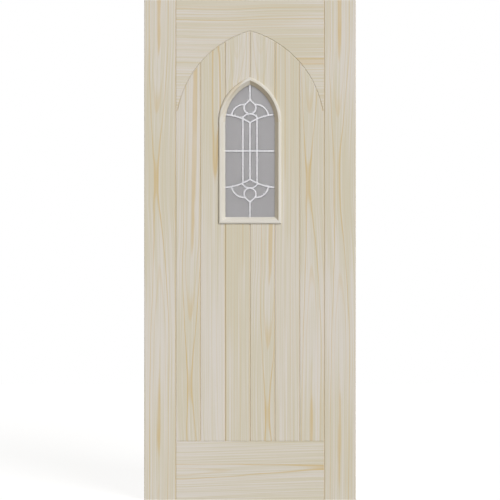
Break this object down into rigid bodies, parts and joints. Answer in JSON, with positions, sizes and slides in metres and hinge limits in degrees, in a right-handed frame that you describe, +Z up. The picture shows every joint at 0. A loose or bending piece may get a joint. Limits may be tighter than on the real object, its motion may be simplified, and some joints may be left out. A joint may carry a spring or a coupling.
{
  "type": "glazed exterior door leaf",
  "caption": "Framed pine door leaf with an arched top rail over tongue-and-groove boards and a pointed-arch window of leaded double glazing in a raised moulding.",
  "frame": {"origin": "middle of the leaf's bottom edge, at mid-thickness", "axes": "+X across the leaf to the right seen from outside, +Y through the leaf from outside to inside, +Z up"},
  "size_m": [0.838, 0.062, 1.981],
  "materials": {
    "pine_frame": "bare sanded clear pine",
    "pine_board": "bare sanded clear pine",
    "pine_moulding": "bare sanded fine-grained pine",
    "obscured_glass": "satin obscured grey-white glass",
    "spacer_aluminium": "mill finish, hidden under the moulding",
    "edge_sealant": "matt black sealant",
    "lead_strip": "pale satin lead strip with soldered joints",
    "glazing_tape": "matt closed-cell foam tape",
    "setting_block": "moulded packer"
  },
  "bodies": {
    "root": {"left_stile": "pine_frame", "right_stile": "pine_frame", "top_rail": "pine_frame", "bottom_rail": "pine_frame", "board_1": "pine_board", "board_2": "pine_board", "board_3_upper": "pine_board", "board_3_lower": "pine_board", "board_4_upper": "pine_board", "board_4_lower": "pine_board", "board_5": "pine_board", "board_6": "pine_board", "outer_pane": "obscured_glass", "inner_pane": "obscured_glass", "spacer_bar": "spacer_aluminium", "edge_seal": "edge_sealant", "outer_lead_lattice": "lead_strip", "inner_lead_lattice": "lead_strip", "outer_glazing_tape": "glazing_tape", "inner_glazing_tape": "glazing_tape", "setting_blocks": "setting_block", "outer_moulding_sill": "pine_moulding", "outer_moulding_left_jamb": "pine_moulding", "outer_moulding_right_jamb": "pine_moulding", "outer_moulding_left_arch": "pine_moulding", "outer_moulding_right_arch": "pine_moulding", "inner_moulding_sill": "pine_moulding", "inner_moulding_left_jamb": "pine_moulding", "inner_moulding_right_jamb": "pine_moulding", "inner_moulding_left_arch": "pine_moulding", "inner_moulding_right_arch": "pine_moulding"}
  },
  "joints": []
}
